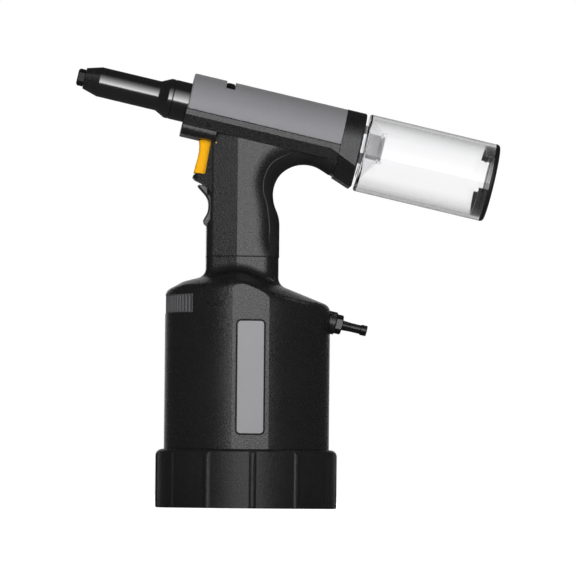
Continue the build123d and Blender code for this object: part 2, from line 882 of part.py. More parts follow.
# Trigger and suction lever
trigger_front = Spline(
    handle_point(-32.8, 75.8),
    handle_point(-32.6, 70.0),
    handle_point(-34.0, 63.0),
    handle_point(-36.1, 54.8),
)
trigger_face = make_face(
    [
        trigger_front,
        Polyline(
            handle_point(-36.1, 54.8),
            handle_point(-28.5, 54.0),
            handle_point(-24.4, 54.4),
            handle_point(-24.3, 68.9),
            handle_point(-19.2, 71.0),
            handle_point(-18.6, 74.4),
            handle_point(-20.0, 77.4),
            handle_point(-24.0, 77.6),
            handle_point(-28.0, 77.0),
            handle_point(-32.8, 75.8),
        ),
    ]
)
trigger = extrude(Plane.XZ * trigger_face, amount=trigger_width / 2, both=True)
trigger = fillet(trigger.edges().filter_by(GeomType.BSPLINE), trigger_edge)
hinge_hole = trigger_pin_radius + running_fit
parts["trigger"] = trigger - rod_y(trigger_pivot[0], trigger_pivot[1], 20, hinge_hole)
lever_front = Spline(
    handle_point(-33.5, 46.3),
    handle_point(-29.8, 42.0),
    handle_point(-26.9, 37.7),
    handle_point(-26.3, 33.7),
    handle_point(-26.8, 29.6),
    handle_point(-28.5, 26.1),
    handle_point(-29.6, 24.1),
)
lever_face = make_face(
    [
        lever_front,
        Polyline(
            handle_point(-29.6, 24.1),
            handle_point(-29.3, 22.3),
            handle_point(-27.9, 20.7),
            handle_point(-20.5, 20.6),
            handle_point(-19.6, 24.4),
            handle_point(-20.4, 28.4),
            handle_point(-21.4, 31.4),
            handle_point(-21.4, 40.9),
            handle_point(-24.4, 41.8),
            handle_point(-26.4, 44.6),
            handle_point(-29.2, 46.4),
            handle_point(-32.4, 47.1),
            handle_point(-33.5, 46.3),
        ),
    ]
)
lever = extrude(Plane.XZ * lever_face, amount=lever_width / 2, both=True)
lever = fillet(lever.edges().filter_by(GeomType.BSPLINE), lever_edge)
parts["suction_lever"] = lever - rod_y(lever_pivot[0], lever_pivot[1], 20, hinge_hole)

# Head cover with a notch over the filler plug
cover = rod_x(cover_front, cover_rear, cover_radius, trough_radius)
cover += rod_x(cover_front, head_front + front_wall, trough_radius + 0.5, collar_hole)
cover -= Pos(0, 0, ledge_v + close_gap - 2 * cover_radius) * Box(
    4 * cover_rear, 4 * cover_radius, 4 * cover_radius
)
cover -= Pos((notch_start + notch_end) / 2, 0, notch_v + cover_radius) * Box(
    notch_end - notch_start, 4 * cover_radius, 2 * cover_radius
)
front_rim = [
    edge
    for edge in cover.edges().filter_by(GeomType.CIRCLE)
    if abs(edge.radius - cover_radius) < 0.01 and abs(edge.center().X - cover_front) < 0.01
]
cover = fillet(front_rim, cover_edge)
parts["head_cover"] = HEAD * cover

# Hydraulic barrel, rod bush and filler plug
barrel_start = head_front + front_wall + part_gap
sleeve_thread = 11.5
filler_u = (notch_start + notch_end) / 2
filler_seat = 16.3
filler_radius = 2.0
barrel = HEAD * rod_x(barrel_start, barrel_rear, barrel_radius)
barrel += rod_z(boss_bottom, barrel_height - 8, boss_radius)
barrel -= HEAD * rod_x(barrel_start - 1, bush_front, sleeve_thread)
barrel -= HEAD * rod_x(bush_front - 1, bush_rear, bush_radius)
barrel -= HEAD * rod_x(bush_rear - 1, barrel_rear + 1, barrel_bore)
barrel -= rod_z(boss_bottom - 1, tube_top + close_gap, tube_radius + running_fit)
barrel -= rod_z(tube_top, barrel_height - 12, oil_port_radius)
barrel -= HEAD * Pos(filler_u, 0, 0) * rod_z(8, 25, filler_radius + running_fit)
barrel -= HEAD * Pos(filler_u, 0, 0) * rod_z(filler_seat, 25, filler_radius + 1.4)
parts["hydraulic_barrel"] = barrel
filler = turned_z(
    [
        (0, barrel_bore + 0.3),
        (filler_radius, barrel_bore + 0.3),
        (filler_radius, filler_seat + 0.55),
        (filler_radius + 0.7, filler_seat + 0.55),
        (filler_radius + 0.7, filler_seat + 2.0),
        (filler_radius + 0.2, filler_seat + 2.5),
        (0, filler_seat + 2.5),
    ]
)
filler -= Pos(0, 0, filler_seat + 2.5) * Box(6, 0.9, 1.6)
parts["filler_plug"] = HEAD * Pos(filler_u, 0, 0) * filler
parts["filler_seal"] = HEAD * Pos(filler_u, 0, 0) * rod_z(
    filler_seat + running_fit, filler_seat + 0.5, filler_radius + 1.0, filler_radius + running_fit
)
rod_hole = rod_radius + running_fit
rod_seal = (bush_rear - 4.5, bush_rear - 1.5)
bush = rod_x(bush_front + close_gap, bush_rear, bush_radius - running_fit, rod_hole)
bush -= rod_x(rod_seal[0], rod_seal[1], rod_radius + 2)
nut_recess = rod_x(bush_front, bush_front + 2.6, lock_nut_across / math.sqrt(3) + part_gap)
parts["rod_bush"] = HEAD * (bush - nut_recess)
parts["rod_seal"] = HEAD * rod_x(
    rod_seal[0] + close_gap, rod_seal[1] - close_gap, rod_radius + 1.9, rod_hole
)

# Draw piston with pull rod, mandrel tube and return spring
draw_radius = barrel_bore - 0.4
piston_rear = piston_front + piston_length
rod_step = jaw_housing_rear + 4
draw_seal = (piston_front + 4, piston_front + 8)
draw_piston = turned_x(
    [
        (rod_thread_front, rod_bore),
        (rod_thread_front, rod_thread_radius),
        (rod_step, rod_thread_radius),
        (rod_step, rod_radius),
        (piston_front, rod_radius),
        (piston_front, draw_radius),
        (piston_rear, draw_radius),
        (piston_rear, mandrel_tube_radius - 0.7),
        (piston_rear - 6, mandrel_tube_radius - 0.7),
        (piston_rear - 6, rod_bore),
    ]
)
draw_piston -= rod_x(draw_seal[0], draw_seal[1], draw_radius + 1, draw_radius - 2.4)
parts["draw_piston"] = HEAD * draw_piston
parts["draw_piston_seal"] = HEAD * rod_x(
    draw_seal[0] + close_gap, draw_seal[1] - close_gap, barrel_bore - running_fit, draw_radius - 2.3
)
parts["mandrel_tube"] = HEAD * turned_x(
    [
        (piston_rear - 5.8, mandrel_tube_bore),
        (piston_rear - 5.8, mandrel_tube_radius - 0.75),
        (piston_rear + running_fit, mandrel_tube_radius - 0.75),
        (piston_rear + running_fit, mandrel_tube_radius),
        (mandrel_tube_end, mandrel_tube_radius),
        (mandrel_tube_end, mandrel_tube_bore),
    ]
)
parts["return_spring"] = HEAD * Pos(piston_rear + close_gap, 0, 0) * coil(
    10.2, 1.1, end_plug_front - piston_rear - 0.2, 5
)

# Barrel end plug with the container spigot, collar and its nut
flange_start = barrel_rear + close_gap
flange_end = flange_start + end_plug_flange
spigot_groove = spigot_end - 3.3
end_plug = turned_x(
    [
        (end_plug_front, mandrel_tube_radius + 0.35),
        (end_plug_front, barrel_bore - running_fit),
        (flange_start, barrel_bore - running_fit),
        (flange_start, barrel_radius),
        (flange_end, barrel_radius),
        (flange_end, spigot_radius),
        (spigot_end, spigot_radius),
        (spigot_end, mandrel_tube_radius + 0.35),
    ]
)
parts["barrel_end_plug"] = HEAD * (
    end_plug - rod_x(spigot_groove, spigot_groove + 2.4, spigot_radius + 1, spigot_radius - 1.1)
)
socket_radius = spigot_radius + 0.4
parts["container_seal"] = HEAD * rod_x(
    spigot_groove + close_gap, spigot_groove + 2.3, socket_radius - running_fit, spigot_radius - 1.0
)
collar_start = cover_rear + close_gap
collar_low_front = chin_v - 3.7
collar_low_rear = -container_drop - collar_end_radius
collar = rod_x(collar_start, collar_end, rail_half_width)
collar += slab(
    [(collar_start, 0), (collar_end, 0), (collar_end, collar_low_rear), (collar_start, collar_low_front)],
    rail_half_width,
)
fall = math.radians(skirt_slope)
lean = math.radians(skirt_lean)
for side in (-1, 1):
    leaning = Plane(
        (skirt_u, side * rail_half_width, skirt_v),
        x_dir=(math.cos(fall), 0, -math.sin(fall)),
        z_dir=(-math.sin(lean) * math.sin(fall), side * math.cos(lean), -math.sin(lean) * math.cos(fall)),
    )
    collar -= leaning * Pos(0, 0, collar_end) * Box(4 * collar_end, 4 * collar_end, 2 * collar_end)
collar = fillet(collar.faces().sort_by(Axis.X)[-1].outer_wire().edges(), collar_edge)
collar -= rod_x(collar_start - 1, flange_end + close_gap, trough_radius)
collar -= rod_x(flange_end - 1, collar_end + 1, spigot_radius + close_gap)
parts["rear_collar"] = HEAD * collar
parts["collar_nut"] = HEAD * (
    hex_x(collar_end + close_gap, collar_end + 3, 22) - rod_x(60, 90, spigot_radius + running_fit)
)

# Nose sleeve and nosepiece
sleeve_rear = bush_front - 0.2
sleeve = turned_x(
    [
        (sleeve_front, nosepiece_radius + running_fit),
        (sleeve_front, sleeve_front_radius),
        (sleeve_cone_end, sleeve_radius),
        (flare_start, sleeve_radius),
        (flare_end, collar_radius),
        (ring_groove - 0.4, collar_radius),
        (ring_groove, collar_radius - 0.35),
        (ring_groove + 0.4, collar_radius),
        (barrel_start - close_gap, collar_radius),
        (barrel_start - close_gap, sleeve_thread - running_fit),
        (sleeve_rear, sleeve_thread - running_fit),
        (sleeve_rear, sleeve_bore),
        (sleeve_seat, sleeve_bore),
        (sleeve_seat, nosepiece_radius + running_fit),
    ]
)
bends = [
    edge
    for edge in sleeve.edges().filter_by(GeomType.CIRCLE)
    if edge.center().X < flare_end + 1 and edge.radius > sleeve_radius - 0.01
]
sleeve = fillet(bends, sleeve_bend)
front_edge = [
    edge
    for edge in sleeve.edges().filter_by(GeomType.CIRCLE)
    if abs(edge.center().X - sleeve_front) < 0.01 and edge.radius > nosepiece_radius + 1
]
parts["nose_sleeve"] = HEAD * fillet(front_edge, 0.5)
tip = hex_x(nosepiece_front, sleeve_front - close_gap, nosepiece_hex)
tip &= turned_x(
    [
        (nosepiece_front, 0),
        (nosepiece_front, nosepiece_hex / 2 - 0.4),
        (nosepiece_front + 1, nosepiece_hex / 2 + 0.8),
        (sleeve_front, nosepiece_hex / 2 + 0.8),
        (sleeve_front, 0),
    ]
)
tip += rod_x(sleeve_front - 0.5, sleeve_seat - 0.5, nosepiece_radius)
tip += rod_x(sleeve_seat - 1, nosepiece_tail, jaw_mouth_radius - 0.6)
parts["nosepiece"] = HEAD * (tip - rod_x(nosepiece_front - 1, nosepiece_tail + 1, nosepiece_bore))

# Jaw housing with its jaws, pusher, spring and lock nut
jaw_housing_radius = sleeve_bore - 0.4
cone_start = jaw_housing_front + 1
jaw_housing = turned_x(
    [
        (jaw_housing_front, jaw_mouth_radius),
        (jaw_housing_front, jaw_housing_radius - 1),
        (jaw_housing_front + 1.5, jaw_housing_radius),
        (jaw_housing_rear, jaw_housing_radius),
        (jaw_housing_rear, rod_thread_radius + running_fit),
        (rod_thread_front - 0.2, rod_thread_radius + running_fit),
        (rod_thread_front - 0.2, jaw_cone_rear_radius),
        (jaw_rear, jaw_cone_rear_radius),
        (cone_start, jaw_mouth_radius),
    ]
)
parts["jaw_housing"] = HEAD * jaw_housing
jaw_bore = nosepiece_bore + jaw_opening
cone_rise = (jaw_cone_rear_radius - jaw_mouth_radius) / (jaw_rear - cone_start)
jaw_tip_radius = jaw_mouth_radius + (jaw_front - cone_start) * cone_rise - running_fit
jaws = turned_x(
    [
        (jaw_front, jaw_bore),
        (jaw_front, jaw_tip_radius),
        (jaw_rear, jaw_cone_rear_radius - running_fit),
        (jaw_rear, jaw_bore),
    ]
)
for turn in (30, 150, 270):
    jaws -= Rot(turn, 0, 0) * Pos(jaw_front, 0, 10) * Box(60, 0.9, 20)
parts["jaws"] = HEAD * Compound(jaws.solids())
pusher_rear = jaw_rear + 5.4
parts["jaw_pusher"] = HEAD * rod_x(jaw_rear + close_gap, pusher_rear, jaw_cone_rear_radius - 0.2, 2.4)
parts["jaw_spring"] = HEAD * Pos(pusher_rear + close_gap, 0, 0) * coil(
    4.4, 0.5, rod_thread_front - pusher_rear - 0.2, 3
)
lock_nut = hex_x(jaw_housing_rear + close_gap, rod_step - close_gap, lock_nut_across)
parts["jaw_lock_nut"] = HEAD * (lock_nut - rod_x(-90, -40, rod_thread_radius + running_fit))

# Clear mandrel container with an inner funnel, and its cap
container_bore = container_radius - container_wall
container = rod_x(container_front, container_rear, container_radius)
container = fillet(container.edges().sort_by(Axis.X)[0], container_edge)
container -= rod_x(container_front + container_wall, container_rear + 1, container_bore)
container = Pos(0, 0, -container_drop) * container
funnel_mouth = 21.4
funnel_v = -3.4
funnel = loft(
    [
        at(container_front + 1, funnel_v) * Circle(funnel_mouth),
        at(funnel_rear, 0) * Circle(socket_radius + socket_wall),
    ]
)
hollow = loft(
    [
        at(container_front - 1, funnel_v) * Circle(funnel_mouth - 1.2),
        at(funnel_rear + 0.2, 0) * Circle(socket_radius),
    ]
)
socket = rod_x(funnel_rear - 0.5, socket_rear, socket_radius + socket_wall)
container += funnel + socket
container -= hollow + rod_x(container_front - 5, socket_rear + 1, socket_radius)
parts["mandrel_container"] = HEAD * container
plug_r = container_bore - 0.3
cap_groove_u = container_rear - 3.6
end_cap = rod_x(cap_plug_front, container_rear + close_gap + 0.5, plug_r)
end_cap += rod_x(container_rear + close_gap, cap_rear, container_radius)
end_cap = fillet(end_cap.edges().sort_by(Axis.X)[-1], cap_edge)
end_cap -= rod_x(cap_plug_front - 1, container_rear + 0.6, plug_r - 2.2)
end_cap -= rod_x(cap_groove_u, cap_groove_u + 2, plug_r + 1, plug_r - 1.2)
end_cap -= Pos(cap_plug_front, 0, cap_window_v + container_drop) * Box(
    2 * (container_rear - cap_plug_front), 3 * container_radius, cap_window
)
parts["container_cap"] = HEAD * Pos(0, 0, -container_drop) * end_cap
parts["container_cap_seal"] = HEAD * Pos(0, 0, -container_drop) * rod_x(
    cap_groove_u + close_gap, cap_groove_u + 1.9, container_bore - running_fit, plug_r - 1.1
)

os.makedirs("parts", exist_ok=True)
for name, shape in parts.items():
    export_step(shape, f"parts/{name}.step")
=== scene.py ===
import math

import bmesh
import bpy
from bpy.props import FloatProperty, FloatVectorProperty, IntProperty, PointerProperty
from mathutils import Matrix, Vector


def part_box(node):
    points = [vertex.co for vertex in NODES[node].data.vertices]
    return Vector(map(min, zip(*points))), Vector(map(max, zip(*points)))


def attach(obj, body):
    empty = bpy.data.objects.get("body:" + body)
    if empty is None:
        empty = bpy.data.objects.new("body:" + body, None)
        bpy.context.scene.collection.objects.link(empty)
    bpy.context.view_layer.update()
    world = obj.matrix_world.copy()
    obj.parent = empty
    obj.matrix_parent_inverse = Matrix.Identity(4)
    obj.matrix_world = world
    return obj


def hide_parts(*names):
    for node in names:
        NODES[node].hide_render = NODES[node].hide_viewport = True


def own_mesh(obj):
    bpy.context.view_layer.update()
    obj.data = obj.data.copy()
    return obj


bl_info = {
    "name": "Pneumatic riveter",
    "version": (1, 0, 0),
    "blender": (4, 5, 0),
    "location": "View3D > Sidebar > Riveter",
    "description": "Finishes, trim, springs and studio for a hand-held pneumatic riveter",
    "category": "Object",
}

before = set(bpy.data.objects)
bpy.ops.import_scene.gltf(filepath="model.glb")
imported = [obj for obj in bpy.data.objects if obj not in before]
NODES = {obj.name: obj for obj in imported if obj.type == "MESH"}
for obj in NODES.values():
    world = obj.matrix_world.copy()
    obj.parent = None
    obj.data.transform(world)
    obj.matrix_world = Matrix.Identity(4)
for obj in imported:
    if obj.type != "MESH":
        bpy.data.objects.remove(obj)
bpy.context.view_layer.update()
MM = 0.001
HEAD_TILT = math.radians(12.7)  # barrel axis, down from +X
HEAD_UP = (math.sin(HEAD_TILT), 0.0, math.cos(HEAD_TILT))  # square to the barrel axis
HANDLE = ("back_grip", "handle_housing")
RAY_START = 0.08  # well outside the handle, in metres


def colour(name, description, value):
    """Colour property with a linear default."""
    return FloatVectorProperty(
        name=name, description=description, default=value, size=3, min=0.0, max=1.0, subtype="COLOR"
    )


def length(name, description, value):
    """Length property in metres."""
    return FloatProperty(
        name=name, description=description, default=value, subtype="DISTANCE", unit="LENGTH", precision=5
    )


def share(name, description, value, top=1.0):
    """Plain number property from nought upward."""
    return FloatProperty(name=name, description=description, default=value, min=0.0, max=top)


class RiveterFinish(bpy.types.PropertyGroup):
    """Colours and surface values of the visible pieces"""

    housing: colour("Housing", "Moulded black of the cylinder and handle", (0.0112, 0.0112, 0.012))
    boot: colour("Boot", "Rubber of the base boot", (0.0112, 0.0112, 0.0121))
    grip: colour("Grip", "Soft grip behind the handle", (0.0135, 0.0135, 0.0143))
    cover: colour("Cover", "Grey of the head cover", (0.243, 0.243, 0.256))
    label: colour("Label", "Bare grey of the label plates", (0.235, 0.235, 0.246))
    trigger: colour("Trigger", "Yellow of the trigger", (0.93, 0.44, 0.004))
    lever: colour("Lever", "Grey of the suction lever", (0.022, 0.022, 0.024))
    container: colour("Container", "Tint of the clear container", (0.99, 0.99, 0.995))
    # painted shade: tone of the clear wall's colour where the camera sees it edge on
    container_edge_shade: share("Container edge", "Tone of the clear wall where it is seen edge on", 0.36)
    container_depth: share(
        "Container depth", "How fast the clear wall darkens along its length, per metre", 15.0, 1000.0
    )
    black_steel: colour("Black steel", "Blackened steel of nose and nipple", (0.007, 0.007, 0.0075))
    # partly painted highlight: the bead is paler than the plastics round it, so the seam shows as a light
    # line
    seam: colour("Seam", "Pale bead between handle and grip", (0.035, 0.035, 0.038))
    grille: colour("Grille", "Faded black of the grille bars", (0.085, 0.085, 0.09))
    seam_radius: length("Seam radius", "Radius of the bead", 0.00045)
    seam_sink: length("Seam sink", "How deep the middle of the bead lies under the surface", 0.00005)
    joint_radius: length("Joint radius", "Half height of the joint line at the foot of the handle", 0.0004)
    pin_centre: length("Pin centre", "Radius of the bright centre of the trigger pin", 0.0007)
    label_corner: length("Label corner", "Corner radius of the label plates", 0.0022)
    # the gasket is a dark ring that paints the shade in the gap round each label plate
    gasket: length("Gasket", "Width of the gasket round a label plate", 0.00096)
    gasket_sink: length("Gasket sink", "How deep the gasket lies below the plate", 0.00015)
    grain: length("Grain", "Size of the moulded grain", 0.00088)
    grain_depth: length("Grain depth", "Depth of the moulded grain", 0.00017)
    edge: length("Edge", "Rounding that the light sees on sharp edges", 0.0004)


class RiveterGrille(bpy.types.PropertyGroup):
    """Sizes of the exhaust grille"""

    bars: IntProperty(name="Bars", description="Upright bars across the grille", default=27, min=5, max=60)
    bar_width: length("Bar width", "Width of one bar along the arc", 0.0018)
    bar_depth: length("Bar depth", "Depth of one bar toward the cylinder axis", 0.0021)
    corner: length("Corner", "Rounding of the bars", 0.00045)
    half_angle: FloatProperty(
        name="Half angle",
        description="Half of the arc that the bars fill",
        default=math.radians(45.6),
        subtype="ANGLE",
    )
    rail: length("Rail", "Height of the rails above and below the bars", 0.0008)


class RiveterStudio(bpy.types.PropertyGroup):
    """Camera and lamps"""

    camera_place: FloatVectorProperty(
        name="Camera",
        description="Where the camera stands",
        default=(-0.1382, -3.2970, 0.012),
        subtype="TRANSLATION",
    )
    camera_target: FloatVectorProperty(
        name="Target",
        description="Point in the middle of the picture",
        default=(0.0261, 0.0, 0.1433),
        subtype="TRANSLATION",
    )
    roll: FloatProperty(
        name="Roll", description="Turn of the picture", default=math.radians(0.55), subtype="ANGLE"
    )
    lens: FloatProperty(
        name="Lens", description="Focal length in mm on a 36 mm sensor", default=317.5, min=20.0
    )
    fill_power: share("Fill", "Watts of the low lamp in front that lights matt surfaces", 21.0, 5000.0)
    shine_power: share("Shine", "Watts of the graded softbox that shiny surfaces mirror", 46.0, 5000.0)
    shine_top: share("Shine top", "Strength at its upper edge as a share of the lower edge", 0.03)
    shine_fade: share("Shine fade", "Power law of the fade from its lower to its upper edge", 1.8, 10.0)
    rear_power: share("Rear", "Watts of the softbox behind that lights matt surfaces", 26.0, 5000.0)
    ambient: share("Ambient", "Even light from all round on matt surfaces", 0.2)
    gloom: share("Gloom", "What shiny surfaces mirror away from the lamps and backdrop", 0.045)


def clear_material(name):
    """New material with an output and a principled shader: (material, tree, shader)."""
    material = bpy.data.materials.new(name)
    material.use_nodes = True
    tree = material.node_tree
    tree.nodes.clear()
    output = tree.nodes.new("ShaderNodeOutputMaterial")
    shader = tree.nodes.new("ShaderNodeBsdfPrincipled")
    tree.links.new(shader.outputs["BSDF"], output.inputs["Surface"])
    return material, tree, shader


def add(tree, kind, settings=None, **inputs):
    """New node with settings on the node and values or links on its inputs."""
    made = tree.nodes.new(kind)
    for key, value in (settings or {}).items():
        setattr(made, key, value)
    for key, value in inputs.items():
        socket = made.inputs[key.replace("_", " ")]
        if isinstance(value, bpy.types.NodeSocket):
            tree.links.new(value, socket)
        else:
            socket.default_value = value
    return made


def noise(tree, place, size, detail=2.0, roughness=0.5):
    """Noise whose features are about the given size in metres."""
    made = add(tree, "ShaderNodeTexNoise", Vector=place, Scale=1.0 / size, Detail=detail, Roughness=roughness)
    return made.outputs["Fac"]


def spread(tree, value, low, high, start=0.3, end=0.7):
    """Value mapped from start..end to low..high."""
    made = add(
        tree, "ShaderNodeMapRange", Value=value, From_Min=start, From_Max=end, To_Min=low, To_Max=high
    )
    return made.outputs["Result"]


def tone(tree, value, base, dark, light, start=0.3, end=0.7):
    """Colour that runs from dark times the base to light times the base."""
    made = add(tree, "ShaderNodeValToRGB", Fac=value)
    for stop, place, factor in zip(made.color_ramp.elements, (start, end), (dark, light)):
        stop.position = place
        stop.color = (*[min(1.0, part * factor) for part in base], 1.0)
    return made.outputs["Color"]


def math_node(tree, operation, first, second):
    """Arithmetic node on two values or sockets."""
    made = tree.nodes.new("ShaderNodeMath")
    made.operation = operation
    for socket, value in zip(made.inputs, (first, second)):
        if isinstance(value, bpy.types.NodeSocket):
            tree.links.new(value, socket)
        else:
            socket.default_value = value
    return made.outputs[0]


def object_place(tree):
    """Object coordinates."""
    return tree.nodes.new("ShaderNodeTexCoord").outputs["Object"]


BROAD_GRAIN = 45  # cloudy change of tone, in grains
FINE_SHARE = 0.75  # of the fine grain in tone and gloss
GLOSS_SWING = 0.07  # either way in roughness


def moulded(finish, name, base, roughness, grain=1.0, depth=1.0, edge=1.0, speckle=0.25, specular=0.5):
    """Moulded plastic or rubber with a fine grain in colour, gloss and relief.

    Grain, depth and edge are shares of the values in the finish.
    """
    material, tree, shader = clear_material(name)
    place = object_place(tree)
    size = finish.grain * grain
    fine = noise(tree, place, size, 3.0, 0.65)
    broad = noise(tree, place, size * BROAD_GRAIN, 2.0, 0.5)
    mixed = math_node(
        tree,
        "ADD",
        math_node(tree, "MULTIPLY", fine, FINE_SHARE),
        math_node(tree, "MULTIPLY", broad, 1.0 - FINE_SHARE),
    )
    tree.links.new(tone(tree, mixed, base, 1.0 - speckle, 1.0 + speckle), shader.inputs["Base Color"])
    gloss = spread(tree, mixed, roughness - GLOSS_SWING, roughness + GLOSS_SWING)
    tree.links.new(gloss, shader.inputs["Roughness"])
    relief(tree, shader, fine, finish.grain_depth * depth, 1.0, finish.edge * edge)
    shader.inputs["Specular IOR Level"].default_value = specular
    return material


def relief(tree, shader, height, depth, strength, edge):
    """Bump on the shader, over edges that the light sees as rounded."""
    rounded = add(tree, "ShaderNodeBevel", {"samples": 4}, Radius=edge)
    bump = add(
        tree,
        "ShaderNodeBump",
        Strength=strength,
        Distance=depth,
        Height=height,
        Normal=rounded.outputs["Normal"],
    )
    tree.links.new(bump.outputs["Normal"], shader.inputs["Normal"])


BARE_MARKS = (0.035, 0.000008)  # swing of roughness along the machining marks, and their depth
COATED_MARKS = (0.008, 0.0000005)  # the same under a black coat
MARK_STRENGTH = 0.35
MARK_STRETCH = (1.0, 0.04, 0.04)  # marks drawn out into rings


def metal(name, base, roughness, mark=0.0008, edge=0.0003, tilt=None, oxide=None):
    """Metal with faint machining marks, as rings across an axis tilted down from +X when a tilt is given.

    With an oxide level it is the black coat on the metal that shines.
    """
    material, tree, shader = clear_material(name)
    place = object_place(tree)
    if tilt is not None:
        level = add(tree, "ShaderNodeMapping", Vector=place, Rotation=(0.0, -tilt, 0.0)).outputs["Vector"]
        place = add(tree, "ShaderNodeMapping", Vector=level, Scale=MARK_STRETCH).outputs["Vector"]
    lines = noise(tree, place, mark, 3.0, 0.6)
    tree.links.new(tone(tree, lines, base, 0.88, 1.1), shader.inputs["Base Color"])
    swing, depth = BARE_MARKS if oxide is None else COATED_MARKS
    tree.links.new(spread(tree, lines, roughness - swing, roughness + swing), shader.inputs["Roughness"])
    relief(tree, shader, lines, depth, MARK_STRENGTH, edge)
    if oxide is None:
        shader.inputs["Metallic"].default_value = 1.0
    else:
        shader.inputs["Specular IOR Level"].default_value = oxide
    return material


def dress(material, *names):
    """Gives CAD nodes one material."""
    for name in names:
        slots = NODES[name].data.materials
        slots.clear()
        slots.append(material)


def finished(name, mesh, material):
    """Object at the origin from a mesh, in one material."""
    mesh.name = name
    mesh.materials.append(material)
    piece = bpy.data.objects.new(name, mesh)
    bpy.context.scene.collection.objects.link(piece)
    return piece


def built(name, shape):
    """Mesh from a bmesh, which is used up."""
    mesh = bpy.data.meshes.new(name)
    shape.to_mesh(mesh)
    shape.free()
    return mesh


class RIVETER_OT_housings(bpy.types.Operator):
    """Black moulded finish of the cylinder, handle, collar and plug"""

    bl_idname = "riveter.housings"
    bl_label = "Housings"

    def execute(self, context):
        finish = context.scene.riveter_finish
        black = moulded(finish, "housing_black", finish.housing, 0.28, speckle=0.3)
        dress(black, "cylinder_housing", "handle_housing", "shoulder_plug", "rear_collar", "inlet_boss")
        soft = moulded(finish, "grip_soft", finish.grip, 0.6, grain=0.8, specular=0.15)
        dress(soft, "back_grip")
        rubber = moulded(
            finish,
            "boot_rubber",
            finish.boot,
            0.36,
            grain=1.2,
            depth=1.2,
            edge=1.5,
            speckle=0.35,
            specular=0.32,
        )
        dress(rubber, "base_boot")
        return {"FINISHED"}


class RIVETER_OT_greys(bpy.types.Operator):
    """Grey head cover and the bare label plates"""

    bl_idname = "riveter.greys"
    bl_label = "Cover and labels"

    def execute(self, context):
        finish = context.scene.riveter_finish
        cover = moulded(finish, "cover_grey", finish.cover, 0.42, depth=0.6, speckle=0.06, specular=0.1)
        dress(cover, "head_cover")
        label = moulded(finish, "label_grey", finish.label, 0.5, grain=0.7, depth=0.3, speckle=0.03)
        dress(label, "label_plates")
        return {"FINISHED"}


def rounded_loop(half_width, half_height, corner, steps=8):
    """Points round a rectangle with rounded corners, as (across, up) pairs."""
    points = []
    for quarter, (side, level) in enumerate(((1, 1), (-1, 1), (-1, -1), (1, -1))):
        for step in range(steps + 1):
            angle = math.radians(90 * (quarter + step / steps))
            points.append(
                (
                    side * (half_width - corner) + corner * math.cos(angle),
                    level * (half_height - corner) + corner * math.sin(angle),
                )
            )
    return points


GASKET_THICK = 0.0003


class RIVETER_OT_gaskets(bpy.types.Operator):
    """Black gasket in the gap round each label plate, a dark ring that paints the shade in that gap"""

    bl_idname = "riveter.gaskets"
    bl_label = "Label gaskets"

    def execute(self, context):
        finish = context.scene.riveter_finish
        low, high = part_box("label_plates")
        middle = ((low.x + high.x) / 2, (low.z + high.z) / 2)
        half = ((high.x - low.x) / 2, (high.z - low.z) / 2)
        inner = rounded_loop(*half, finish.label_corner)
        outer = rounded_loop(*(part + finish.gasket for part in (*half, finish.label_corner)))
        face = high.y - finish.gasket_sink
        back = face - GASKET_THICK
        count = len(inner)
        rings = bmesh.new()
        for side in (-1.0, 1.0):
            corners = [
                [rings.verts.new((middle[0] + x, side * depth, middle[1] + z)) for x, z in loop]
                for loop, depth in ((inner, face), (outer, face), (outer, back), (inner, back))
            ]
            for first, second in zip(corners, corners[1:] + corners[:1]):
                for number in range(count):
                    after = (number + 1) % count
                    rings.faces.new((first[number], first[after], second[after], second[number]))
        bmesh.ops.recalc_face_normals(rings, faces=rings.faces)
        # painted shade: black ring in the gap round each plate
        black = moulded(finish, "gasket_painted_shade", finish.grip, 0.8, depth=0.3, edge=0.3, specular=0.08)
        piece = finished("label_gaskets_shade", built("label_gaskets_shade", rings), black)
        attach(piece, "tool_body")
        return {"FINISHED"}


DOME = Matrix.Diagonal((1.0, 0.4, 1.0, 1.0))  # flattens a ball across the tool


class RIVETER_OT_controls(bpy.types.Operator):
    """Yellow trigger, grey lever and their pins"""

    bl_idname = "riveter.controls"
    bl_label = "Trigger and lever"

    def execute(self, context):
        finish = context.scene.riveter_finish
        yellow = moulded(
            finish, "trigger_yellow", finish.trigger, 0.45, depth=0.3, speckle=0.05, specular=0.05
        )
        dress(yellow, "trigger")
        grey = moulded(finish, "lever_grey", finish.lever, 0.32, depth=0.5, speckle=0.1)
        dress(grey, "suction_lever")
        pin = metal("pin_steel", (0.07, 0.067, 0.064), 0.3, 0.0006, 0.0002)
        dress(pin, "lever_pin", "locating_pins", "trigger_pin")
        warm = metal("pin_centre_brass", (0.75, 0.45, 0.22), 0.35, 0.0006, 0.0002)
        low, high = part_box("trigger_pin")
        domes = bmesh.new()
        for y in (low.y, high.y):
            place = Matrix.Translation(((low.x + high.x) / 2, y, (low.z + high.z) / 2))
            bmesh.ops.create_uvsphere(
                domes, u_segments=20, v_segments=12, radius=finish.pin_centre, matrix=place @ DOME
            )
        mesh = built("trigger_pin_centres", domes)
        mesh.shade_smooth()
        piece = finished("trigger_pin_centres", mesh, warm)
        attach(piece, "tool_body")
        return {"FINISHED"}


TURNED_MARK = 0.0012  # width of the rings on turned steel


class RIVETER_OT_nose(bpy.types.Operator):
    """Blackened steel of the nose and the hose nipple"""

    bl_idname = "riveter.nose"
    bl_label = "Nose and nipple"

    def execute(self, context):
        finish = context.scene.riveter_finish
        base, turned = finish.black_steel, {"mark": TURNED_MARK, "tilt": HEAD_TILT}
        steel = metal("black_steel", base, 0.16, oxide=1.0, **turned)
        steel.node_tree.nodes["Principled BSDF"].inputs["IOR"].default_value = 1.7
        dress(steel, "nose_sleeve")
        satin = metal("satin_black_steel", base, 0.24, oxide=0.42, **turned)
        dress(satin, "hose_nipple")
        dull = metal("dull_black_steel", base, 0.4, oxide=0.2, **turned)
        dress(dull, "nosepiece")
        return {"FINISHED"}


